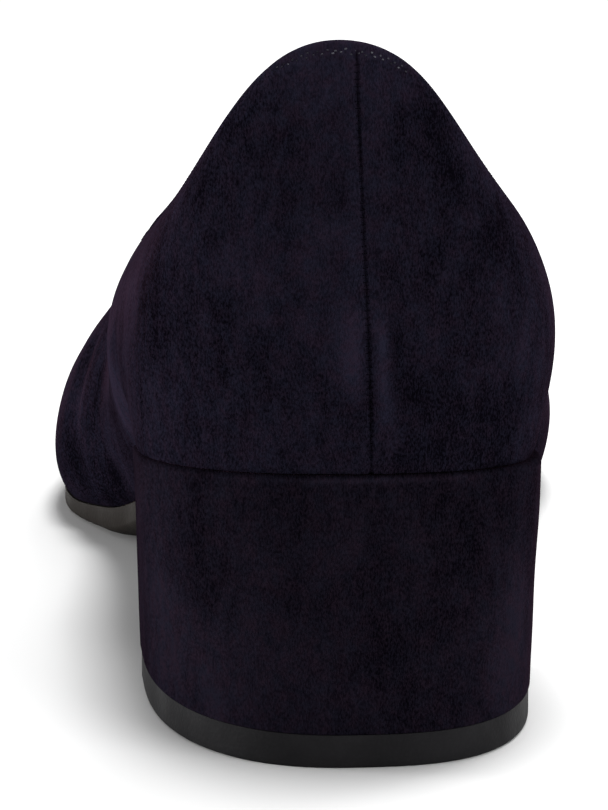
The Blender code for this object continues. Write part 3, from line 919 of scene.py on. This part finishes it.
def start_material(name, group, relief, specular, **values):
    """A material whose colour, roughness and relief come from a shared group."""
    material = bpy.data.materials.new(name)
    material.use_nodes = True
    tree = material.node_tree
    shader = tree.nodes["Principled BSDF"]
    shader.inputs["Specular IOR Level"].default_value = specular
    node = new_node(tree, "ShaderNodeGroup", {"node_tree": group}, **values)
    bump = new_node(tree, "ShaderNodeBump", Strength=relief.strength, Distance=metres(relief.depth))
    tree.links.new(node.outputs["Color"], shader.inputs["Base Color"])
    tree.links.new(node.outputs["Roughness"], shader.inputs["Roughness"])
    tree.links.new(node.outputs["Height"], bump.inputs["Height"])
    tree.links.new(bump.outputs["Normal"], shader.inputs["Normal"])
    return Finish(material, tree, shader, node)


def suede_material(name, dark, light, rose, sheen):
    """Napped suede, with the lightness stored on the mesh added to the nap: nap patches with painted sheen,
    highlights and shade.
    """
    finish = start_material(
        name, shared_group("suede_nap", suede_nap_group), SUEDE_RELIEF, 0.0,
        Dark=opaque(dark), Light=opaque(light), Rose=opaque(rose))
    finish.tree.links.new(stored_tone(finish.tree), finish.group.inputs["Patch"])
    finish.shader.inputs["Sheen Weight"].default_value = SHEEN_WEIGHT
    finish.shader.inputs["Sheen Roughness"].default_value = SHEEN_ROUGHNESS
    finish.shader.inputs["Sheen Tint"].default_value = opaque(sheen)
    return finish.material


def grain_finish(name, base, shade, grain, relief):
    """The start of a material with a fine grain."""
    return start_material(
        name, shared_group("fine_grain", grain_group), relief, grain.specular,
        Base=opaque(base), Shade=opaque(shade), Grains_per_metre=grain.per_metre,
        Smooth=grain.smooth, Rough=grain.rough)


def grain_material(name, base, shade, grain):
    """Leather or rubber with a fine grain."""
    return grain_finish(name, base, shade, grain, GRAIN_RELIEF).material


def thread_material(name, dark, pale):
    """Dark sewing thread, with a painted pale glint where the tone stored on the mesh is high."""
    finish = grain_finish(name, dark, dark, THREAD_GRAIN, THREAD_RELIEF)
    tree = finish.tree
    ends = []
    for rgb in (dark, pale):
        node = tree.nodes.new("ShaderNodeRGB")
        node.outputs[0].default_value = opaque(rgb)
        ends.append(node.outputs[0])
    base = mix_colours(tree, stored_tone(tree), ends[0], ends[1])
    tree.links.new(base, finish.group.inputs["Base"])
    return finish.material


class PUMP_OT_upper(bpy.types.Operator):
    """Make the suede upper with its folded topline, back seam and creases"""

    bl_idname = "pump.upper"
    bl_label = "Upper"

    def execute(self, context):
        sizes = context.scene.pump_sizes
        colours = context.scene.pump_colours
        skin = upper_skin(sizes)
        suede = sizes.suede / MM
        depth = WALL + (suede - WALL) * ramp(skin.from_top, *THIN_BELOW_TOP)
        inner = skin.base - skin.normals * depth[:, :, None]
        foot = skin.base[:, 0] - suede * unit(skin.normals[:, 0] * np.array([1.0, 1.0, 0.0]))
        foot[:, 2] = seat_z(foot[:, 1]) - FOOT_DROP
        inner[:, 0] = foot
        middle = 0.5 * (skin.face[:, -1] + inner[:, -1])
        half = 0.5 * (skin.face[:, -1] - inner[:, -1])
        rise = FOLD_RISE * unit(skin.base[:, -1] - skin.base[:, -2])
        turn = np.linspace(0.0, math.pi, FOLD_POINTS + 2)[1:-1][None, :, None]
        fold = middle[:, None] + np.cos(turn) * half[:, None] + np.sin(turn) * rise[:, None]
        wall = np.concatenate([skin.face, fold, inner[:, ::-2]], axis=1)
        # painted sheen along the folded topline
        painted_rim = bell(skin.from_top, RIM_REACH)
        painted_rim = np.concatenate([painted_rim, np.ones(fold.shape[:2]), painted_rim[:, ::-2]], axis=1)
        tone = patches(wall, UPPER_PATCHES) + RIM_SHEEN * painted_rim
        # lighter streaks beside the seam: rubbed nap and painted highlight on its ridges
        tone[:, :skin.base.shape[1]] += streaks(skin.base, skin.base[SEAM_COLUMNS // 2])
        mesh = wall_mesh("suede_upper", wall, tone)
        material = suede_material("upper_suede", colours.suede_dark, colours.suede_light,
                                  colours.suede_rose, colours.sheen)
        piece = add_piece("suede_upper", mesh, material)
        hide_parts("upper")
        return {"FINISHED"}


class PUMP_OT_lining(bpy.types.Operator):
    """Make the leather lining inside the upper"""

    bl_idname = "pump.lining"
    bl_label = "Lining"

    def execute(self, context):
        sizes = context.scene.pump_sizes
        colours = context.scene.pump_colours
        skin = upper_skin(sizes)
        lengths = skin.from_top[:, 0]
        outer_depth = sizes.suede / MM + LINING_CLEARANCE
        outer_face = skin.base - skin.normals * outer_depth
        inner_face = skin.base - skin.normals * (WALL + LINING_CLEARANCE)
        shares = np.linspace(0.0, 1.0, LINING_ROWS)
        set_down = sizes.lining_set_down / MM
        down = set_down + (lengths[:, None] - set_down - LINING_FOOT) * shares[None, ::-1]
        outer = np.stack([level_row(skin, outer_face, row) for row in down.T], axis=1)
        inner = np.stack([level_row(skin, inner_face, row) for row in down.T], axis=1)
        edge = 0.5 * (outer[:, -1] + inner[:, -1]) + LINING_EDGE * unit(inner[:, -1] - inner[:, -2])
        wall = np.concatenate([outer, edge[:, None], inner[:, ::-1]], axis=1)
        mesh = wall_mesh("upper_lining", wall)
        material = grain_material("lining_leather", colours.lining, colours.lining_shade, LINING_GRAIN)
        add_piece("upper_lining", mesh, material)
        return {"FINISHED"}


def path_reach(path):
    """Distance along a path of points, at each of them."""
    steps = np.linalg.norm(np.diff(path, axis=0), axis=1)
    return np.concatenate([[0.0], np.cumsum(steps)])


def on_path(path, reach, at):
    """Points at distances along a path."""
    return np.column_stack([np.interp(at, reach, column) for column in path.T])


def stitch_template(span, radius, arch):
    """One stitch: a short thread along X that dives into the suede at both ends."""
    share = np.linspace(-1.0, 1.0, STITCH_RINGS)
    thick = radius * np.sqrt(1.0 - STITCH_TAPER * np.abs(share) ** 4)
    around = np.linspace(0.0, 2.0 * math.pi, STITCH_SIDES, endpoint=False)
    x = np.repeat(0.5 * span * share, STITCH_SIDES)
    y = (thick[:, None] * np.cos(around)).ravel()
    z = (thick[:, None] * np.sin(around) + arch * (STITCH_RISE - share ** 2)[:, None]).ravel()
    return np.column_stack([x, y, z])


def stitch_row_mesh(name, places, along, normal, template, stretch, tone):
    """Many stitches as one mesh, each with its own direction, length factor and tone, which holds the
    painted glint.
    """
    across = np.cross(normal, along)
    x = template[None, :, :1] * stretch[:, None, None]
    points = (places[:, None] + along[:, None] * x
              + across[:, None] * template[None, :, 1:2] + normal[:, None] * template[None, :, 2:])
    ring = np.arange(STITCH_SIDES)
    one = []
    for i in range(STITCH_RINGS - 1):
        low = i * STITCH_SIDES
        high = low + STITCH_SIDES
        following = (ring + 1) % STITCH_SIDES
        one.append(np.column_stack([low + ring, low + following, high + following, high + ring]))
    one = np.vstack(one)
    starts = np.arange(len(places)) * len(template)
    faces = (one[None] + starts[:, None, None]).reshape(-1, 4)
    last = (STITCH_RINGS - 1) * STITCH_SIDES
    caps = [start + ring[::-1] for start in starts] + [start + last + ring for start in starts]
    return solid_mesh(name, points, faces, caps, SHARP_SOFT, np.repeat(tone, len(template)))


def spaced(path, pitch):
    """Places and directions along a path of points, one every pitch."""
    reach = path_reach(path)
    count = int(round(reach[-1] / pitch))
    at = (np.arange(count) + 0.5) * reach[-1] / count
    step = 0.25 * pitch
    return on_path(path, reach, at), unit(on_path(path, reach, at + step) - on_path(path, reach, at - step))


def nearest_normals(skin, places):
    """Normals of the upper's face at places on it."""
    points = skin.face.reshape(-1, 3)
    normals = skin.normals.reshape(-1, 3)
    return np.array([normals[np.argmin(((points - place) ** 2).sum(axis=1))] for place in places])


class PUMP_OT_stitches(bpy.types.Operator):
    """Make the row of stitches round the topline and the threads across the back seam"""

    bl_idname = "pump.stitches"
    bl_label = "Stitches"

    def execute(self, context):
        sizes = context.scene.pump_sizes
        skin = upper_skin(sizes)
        thread = sizes.thread / MM
        pitch = sizes.stitch_pitch / MM
        colours = context.scene.pump_colours
        loop = level_row(skin, skin.face, sizes.stitch_set_down / MM)
        places, along = spaced(np.vstack([loop, loop[:1]]), pitch)
        normal = nearest_normals(skin, places)
        chance = np.random.default_rng(STITCH_SEED)
        stray = chance.uniform(-1.0, 1.0, (3, len(places)))
        odd = np.arange(len(places)) % 2
        stray[0] = STITCH_STRAY * stray[0] + np.where(odd, STITCH_ZIGZAG, -STITCH_ZIGZAG)
        across = np.cross(normal, along)
        aside = across * (STITCH_SHIFT * stray[0])[:, None]
        places = places + aside + along * (STITCH_ALONG * pitch * stray[1])[:, None]
        turned = unit(along + across * (STITCH_TURN * stray[2])[:, None])
        glint = ramp(places[:, 2], GLINT_LOW, GLINT_HIGH) * chance.uniform(*GLINT_RANGE, len(places))
        template = stitch_template(sizes.stitch_length / MM, thread, STITCH_ARCH)
        mesh = stitch_row_mesh("topline_stitches", places, turned, normal, template,
                               chance.uniform(*STITCH_STRETCH, len(places)), glint)
        material = thread_material("topline_thread", colours.topline_thread, colours.thread)
        add_piece("topline_stitches", mesh, material)

        seam = SEAM_COLUMNS // 2
        keep = (skin.from_top[seam] > SEAM_TOP_END) & (skin.from_foot[seam] > SEAM_FOOT_END)
        places, along = spaced(skin.base[seam][keep], SEAM_PITCH)
        normal = nearest_normals(skin, places)
        across = unit(np.cross(along, normal))
        template = stitch_template(SEAM_STITCH, SEAM_THREAD * thread, SEAM_ARCH)
        mesh = stitch_row_mesh("back_seam_stitches", places, across, normal, template,
                               chance.uniform(*SEAM_STRETCH, len(places)), np.zeros(len(places)))
        material = thread_material("seam_thread", colours.seam_thread, colours.thread)
        add_piece("back_seam_stitches", mesh, material)
        return {"FINISHED"}


def evenly(path, count):
    """Points evenly spaced along a path, from its first point on and without its last."""
    reach = path_reach(path)
    return on_path(path, reach, np.arange(count) * reach[-1] / count)


def heel_outline(row, inset):
    """Plan of the heel, in the same columns at every level: back, side, corner, breast, corner, side."""
    width = row.half_width - inset
    breast = BREAST_Y - inset
    turn = np.linspace(-0.5 * math.pi, 0.5 * math.pi, HEEL_BACK_POINTS)
    power = 2.0 / np.where(turn < 0.0, row.outer_power, row.inner_power)
    x = row.middle_x + width * np.sign(np.sin(turn)) * np.abs(np.sin(turn)) ** power
    y = row.back_y + inset + row.round_depth * (1.0 - np.abs(np.cos(turn)) ** power)
    back = np.column_stack([x, y])
    bend = np.linspace(0.0, 0.5 * math.pi, 2 * CORNER_COLUMNS)
    right = np.column_stack([row.middle_x + width - HEEL_CORNER * (1.0 - np.cos(bend)),
                             breast - HEEL_CORNER * (1.0 - np.sin(bend))])
    left = right[::-1] * np.array([-1.0, 1.0]) + np.array([2.0 * row.middle_x, 0.0])
    return np.vstack([
        evenly(back, BACK_COLUMNS),
        evenly(np.array([back[-1], right[0]]), SIDE_COLUMNS),
        evenly(right, CORNER_COLUMNS),
        evenly(np.array([right[-1], left[0]]), BREAST_COLUMNS),
        evenly(left, CORNER_COLUMNS),
        evenly(np.array([left[-1], back[0]]), SIDE_COLUMNS),
    ])


class PUMP_OT_heel(bpy.types.Operator):
    """Make the suede-covered heel with its folded upper edge"""

    bl_idname = "pump.heel"
    bl_label = "Heel"

    def execute(self, context):
        sizes = context.scene.pump_sizes
        colours = context.scene.pump_colours
        lip = sizes.lip / MM
        rings = []
        for turn in np.linspace(0.0, 0.5 * math.pi, LIP_POINTS):
            plan = heel_outline(HEEL_SEAT, lip * (1.0 - math.sin(turn)))
            drop = GAP + lip * (1.0 - math.cos(turn))
            rings.append(np.column_stack([plan, seat_z(plan[:, 1]) - drop]))
        top = rings[-1]
        bottom = level_ring(heel_outline(HEEL_FOOT, 0.0), HEEL_FOOT_HEIGHT + HEEL_TUCK)
        for share in np.linspace(0.0, 1.0, HEEL_ROWS)[1:]:
            rings.append(top + (bottom - top) * share)
        for turn in np.linspace(0.0, 0.5 * math.pi, TUCK_RINGS)[1:]:
            plan = heel_outline(HEEL_FOOT, HEEL_TUCK * (1.0 - math.cos(turn)))
            rings.append(level_ring(plan, HEEL_FOOT_HEIGHT + HEEL_TUCK * (1.0 - math.sin(turn))))
        grid = np.stack(rings, axis=1)
        inside = np.array([HEEL_FOOT.middle_x, 0.5 * BREAST_Y, 0.0])
        out = unit((grid - inside) * np.array([1.0, 1.0, 0.0]))
        clear = ramp(grid[:, :, 2], HEEL_WAVE_LOW, HEEL_WAVE_HIGH)
        grid = grid + out * (waves(grid) * clear)[:, :, None]
        below = seat_z(grid[:, :, 1]) - grid[:, :, 2]
        # painted highlight along the folded edge of the heel cover, below the upper
        painted_rim = bell(below - HEEL_RIM_BELOW, HEEL_RIM_WIDTH) * bell(grid[:, :, 0], HEEL_RIM_REACH)
        tone = patches(grid, HEEL_PATCHES) + HEEL_RIM_HIGHLIGHT * painted_rim
        mesh = capped_mesh("heel_cover", grid, SHARP_BLOCK, tone)
        material = suede_material("heel_suede", colours.heel_dark, colours.heel_light,
                                  colours.heel_rose, colours.sheen)
        piece = add_piece("heel_cover", mesh, material)
        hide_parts("heel_block")
        return {"FINISHED"}


class PUMP_OT_lift(bpy.types.Operator):
    """Make the rubber top lift"""

    bl_idname = "pump.lift"
    bl_label = "Top lift"

    def execute(self, context):
        colours = context.scene.pump_colours
        bend = LIFT_TOP_BEND * LIFT_TOP_EDGE
        profile = [(LIFT_TOP_EDGE, LIFT_THICKNESS), (bend, LIFT_THICKNESS - bend),
                   (0.0, LIFT_THICKNESS - LIFT_TOP_EDGE)]
        side = np.linspace(LIFT_THICKNESS - 2.0 * LIFT_TOP_EDGE, LIFT_LOW_EDGE, LIFT_ROWS)
        profile += [(0.0, height) for height in side]
        for turn in np.linspace(0.0, 0.5 * math.pi, LIFT_EDGE_RINGS)[1:]:
            profile.append((LIFT_LOW_EDGE * (1.0 - math.cos(turn)), LIFT_LOW_EDGE * (1.0 - math.sin(turn))))
        rings = [level_ring(heel_outline(HEEL_FOOT, LIFT_INSET + inset), height)
                 for inset, height in profile]
        mesh = capped_mesh("rubber_lift", np.stack(rings, axis=1), SHARP_BLOCK)
        material = grain_material("lift_rubber_finish", colours.lift, colours.lift_shade, LIFT_GRAIN)
        piece = add_piece("rubber_lift", mesh, material)
        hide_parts("top_lift")
        return {"FINISHED"}


def outline_sides(margin):
    """Plan outline of the sole line, moved out by margin, as an outer and an inner side by rising y."""
    places = np.linspace(0.0, len(STATIONS), OUTLINE_POINTS, endpoint=False)
    return split_sides(edge_curve(places) + margin * edge_normals(places)[:, :2])


def wall_sides(height, inset):
    """Plan of the upper's wall at a height above the sole line, drawn in by inset, as two sides."""
    places = np.linspace(0.0, len(STATIONS), WALL_PLAN_POINTS, endpoint=False)
    wall = upper_points(places, np.linspace(0.0, WALL_PLAN_SHARE, WALL_PLAN_ROWS))
    wall = wall - inset * grid_normals(wall)
    level = seat_z(edge_curve(places)[:, 1]) + height
    plan = np.empty((len(places), 2))
    for i, column in enumerate(wall):
        for axis in range(2):
            plan[i, axis] = np.interp(level[i], column[:, 2], column[:, axis])
    return split_sides(plan)


def split_sides(plan):
    """A closed plan as an outer and an inner side, each from its back to its tip."""
    plan = np.roll(plan, -int(np.argmin(plan[:, 1])), axis=0)
    tip = int(np.argmax(plan[:, 1]))
    return plan[:tip + 1], np.vstack([plan[tip:], plan[:1]])[::-1]


def edges_at(sides, y):
    """X of the outer and of the inner side at places along the shoe."""
    return [np.interp(y, side[:, 1], side[:, 0]) for side in sides]


class PUMP_OT_outsole(bpy.types.Operator):
    """Make the thin rubber outsole with its rounded edge and fine ribs underneath"""

    bl_idname = "pump.outsole"
    bl_label = "Outsole"

    def execute(self, context):
        sizes = context.scene.pump_sizes
        colours = context.scene.pump_colours
        sides = outline_sides(0.0)
        start = BREAST_Y + GAP
        tip = sides[0][-1, 1] - END_CUT
        sections = []
        for y in start + (tip - start) * np.sin(np.linspace(0.0, 0.5 * math.pi, SOLE_ROWS)):
            left, right = edges_at(sides, y)
            base = base_z(y)
            high = seat_z(y) - SOLE_SEAT_GAP
            roll = bell(y - ROLL_Y, ROLL_REACH)
            round_x = min(SOLE_EDGE + ROLL_IN * roll, SOLE_EDGE_SHARE * (right - left))
            turn = np.linspace(0.0, 0.5 * math.pi, EDGE_POINTS)
            arc_x = round_x * (1.0 - np.cos(turn))
            arc_z = base + (SOLE_EDGE + ROLL_UP * roll) * (1.0 - np.sin(turn))
            across = np.linspace(left + round_x, right - round_x, SOLE_ACROSS)[1:-1]
            margin = np.minimum(across - left, right - across)
            ribs = 0.5 - 0.5 * np.cos(2.0 * math.pi * y / TREAD_PITCH)
            inset = ramp(margin, TREAD_MARGIN, TREAD_MARGIN + TREAD_MARGIN_FADE) * ramp(y, *TREAD_BACK_Y)
            inset *= 1.0 - ramp(y, *TREAD_FRONT_Y)
            under = base + sizes.tread_depth / MM * inset * ramp(ribs, *RIB_FLANK)
            x = np.concatenate([[right], right - arc_x, across[::-1], (left + arc_x)[::-1], [left]])
            z = np.concatenate([[high], arc_z, under[::-1], arc_z[::-1], [high]])
            sections.append(np.column_stack([x, np.full(len(x), y), z]))
        mesh = capped_mesh("rubber_outsole", np.stack(sections, axis=1), SHARP_SOLE)
        material = grain_material("outsole_rubber_finish", colours.sole, colours.sole_shade, SOLE_GRAIN)
        piece = add_piece("rubber_outsole", mesh, material)
        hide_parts("outsole")
        return {"FINISHED"}


def sock_rows(sides):
    """Rows of points across a plan from its back to its tip, and the places of the rows."""
    back = sides[0][0, 1] + END_CUT
    tip = sides[0][-1, 1] - END_CUT
    y = back + (tip - back) * (0.5 - 0.5 * np.cos(np.linspace(0.0, math.pi, SOCK_ROWS)))
    left, right = edges_at(sides, y)
    return np.linspace(left, right, SOCK_ACROSS, axis=1), y


class PUMP_OT_insole(bpy.types.Operator):
    """Make the insole with its leather sock and soft heel pad"""

    bl_idname = "pump.insole"
    bl_label = "Insole"

    def execute(self, context):
        colours = context.scene.pump_colours
        under, under_y = sock_rows(outline_sides(-WALL - GAP))
        over, over_y = sock_rows(wall_sides(INSOLE_THICKNESS - SOCK_EDGE, WALL + SOCK_CLEARANCE))
        sections = []
        for low, low_y, high, high_y in zip(under, under_y, over, over_y):
            margin = np.minimum(high - high[0], high[-1] - high)
            pad = ramp(margin, *PAD_MARGIN)
            pad = pad * ramp(high_y, over_y[0] + PAD_BACK_START, over_y[0] + PAD_BACK_END)
            pad *= 1.0 - ramp(high_y, PAD_FRONT_Y - PAD_FRONT_FADE, PAD_FRONT_Y)
            edge = SOCK_EDGE * (1.0 - ramp(margin, 0.0, SOCK_EDGE_WIDTH))
            top = seat_z(high_y) + INSOLE_THICKNESS + PAD_RISE * pad - edge
            upper_half = np.column_stack([high, np.full(SOCK_ACROSS, high_y), top])
            flat = np.full(SOCK_ACROSS, seat_z(low_y))
            lower_half = np.column_stack([low, np.full(SOCK_ACROSS, low_y), flat])
            sections.append(np.vstack([upper_half, lower_half[::-1]]))
        mesh = capped_mesh("leather_sock", np.stack(sections, axis=1), SHARP_BLOCK)
        material = grain_material("sock_leather", colours.lining, colours.lining_shade, SOCK_GRAIN)
        piece = add_piece("leather_sock", mesh, material)
        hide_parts("insole")
        return {"FINISHED"}


def area_light(row, brightness):
    """A square soft light that looks at the heel."""
    data = bpy.data.lights.new(row.name, "AREA")
    data.shape = "SQUARE"
    data.size = row.size
    data.energy = row.power * brightness
    light = bpy.data.objects.new(row.name, data)
    light.location = (row.x, row.y, row.z)
    aim = np.array(LIGHT_TARGET) - np.array(light.location)
    flat = math.hypot(aim[0], aim[1])
    light.rotation_euler = (math.atan2(flat, -aim[2]), 0.0, math.atan2(-aim[0], aim[1]))
    bpy.context.scene.collection.objects.link(light)


class PUMP_OT_stage(bpy.types.Operator):
    """Make the floor, the lights and the camera"""

    bl_idname = "pump.stage"
    bl_label = "Stage"

    def execute(self, context):
        scene = context.scene
        stage = scene.pump_stage
        half = 0.5 * FLOOR_SIZE
        mesh = bpy.data.meshes.new("floor")
        mesh.from_pydata([(-half, -half, 0.0), (half, -half, 0.0), (half, half, 0.0), (-half, half, 0.0)],
                         [], [(0, 1, 2, 3)])
        floor = bpy.data.objects.new("floor", mesh)
        paper = bpy.data.materials.new("pale_floor")
        paper.use_nodes = True
        tree = paper.node_tree
        shader = tree.nodes["Principled BSDF"]
        shader.inputs["Base Color"].default_value = opaque(scene.pump_colours.floor)
        shader.inputs["Roughness"].default_value = FLOOR_ROUGHNESS
        shader.inputs["Specular IOR Level"].default_value = 0.0
        place = tree.nodes.new("ShaderNodeTexCoord").outputs["Object"]
        distance = new_node(tree, "ShaderNodeVectorMath", {"operation": "LENGTH"})
        tree.links.new(place, distance.inputs[0])
        fade = spread(tree, distance.outputs["Value"], FLOOR_FADE_START, FLOOR_FADE_END, 1.0, 0.0)
        tree.links.new(fade, shader.inputs["Alpha"])
        mesh.materials.append(paper)
        scene.collection.objects.link(floor)

        world = bpy.data.worlds.new("white_surroundings")
        world.use_nodes = True
        tree = world.node_tree
        sky = tree.nodes["Background"]
        sky.inputs["Color"].default_value = (1.0, 1.0, 1.0, 1.0)
        path = tree.nodes.new("ShaderNodeLightPath").outputs["Is Camera Ray"]
        tree.links.new(spread(tree, path, 0.0, 1.0, stage.sky, 1.0), sky.inputs["Strength"])
        scene.world = world
        for row in LIGHTS:
            area_light(row, stage.brightness)

        turn = stage.camera_turn
        back = np.array([math.sin(turn), -math.cos(turn), 0.0])
        right = np.array([math.cos(turn), math.sin(turn), 0.0])
        place = HEEL_FRAME + back * stage.camera_distance - right * stage.camera_aside
        data = bpy.data.cameras.new("camera")
        data.sensor_width = SENSOR
        data.lens = stage.focal_pixels * SENSOR / max(IMAGE_WIDTH, IMAGE_HEIGHT)
        camera = bpy.data.objects.new("camera", data)
        camera.location = (place[0], place[1], stage.camera_height)
        camera.rotation_euler = (0.5 * math.pi - stage.camera_tilt, 0.0, turn)
        scene.collection.objects.link(camera)
        scene.camera = camera
        scene.view_settings.view_transform = "Standard"
        return {"FINISHED"}


class PUMP_PT_sidebar(bpy.types.Panel):
    """Lists the pieces and their sizes, colours and stage"""

    bl_idname = "PUMP_PT_sidebar"
    bl_label = "Low heel pump"
    bl_space_type = "VIEW_3D"
    bl_region_type = "UI"
    bl_category = "Pump"

    def draw(self, context):
        for settings in (context.scene.pump_sizes, context.scene.pump_colours, context.scene.pump_stage):
            box = self.layout.box()
            for label in settings.__annotations__:
                box.prop(settings, label)
        for operator in PIECES:
            self.layout.operator(operator.bl_idname)


GROUPS = (PumpSizes, PumpColours, PumpStage)
PIECES = (PUMP_OT_stage, PUMP_OT_upper, PUMP_OT_lining, PUMP_OT_stitches, PUMP_OT_heel, PUMP_OT_lift,
          PUMP_OT_outsole, PUMP_OT_insole)
CLASSES = GROUPS + PIECES + (PUMP_PT_sidebar,)


def register():
    for each in CLASSES:
        bpy.utils.register_class(each)
    bpy.types.Scene.pump_sizes = bpy.props.PointerProperty(type=PumpSizes)
    bpy.types.Scene.pump_colours = bpy.props.PointerProperty(type=PumpColours)
    bpy.types.Scene.pump_stage = bpy.props.PointerProperty(type=PumpStage)


def unregister():
    del bpy.types.Scene.pump_stage
    del bpy.types.Scene.pump_colours
    del bpy.types.Scene.pump_sizes
    for each in reversed(CLASSES):
        bpy.utils.unregister_class(each)


def main():
    register()
    bpy.ops.pump.stage()
    bpy.ops.pump.upper()
    bpy.ops.pump.lining()
    bpy.ops.pump.stitches()
    bpy.ops.pump.heel()
    bpy.ops.pump.lift()
    bpy.ops.pump.outsole()
    bpy.ops.pump.insole()


if __name__ == "__main__":
    main()
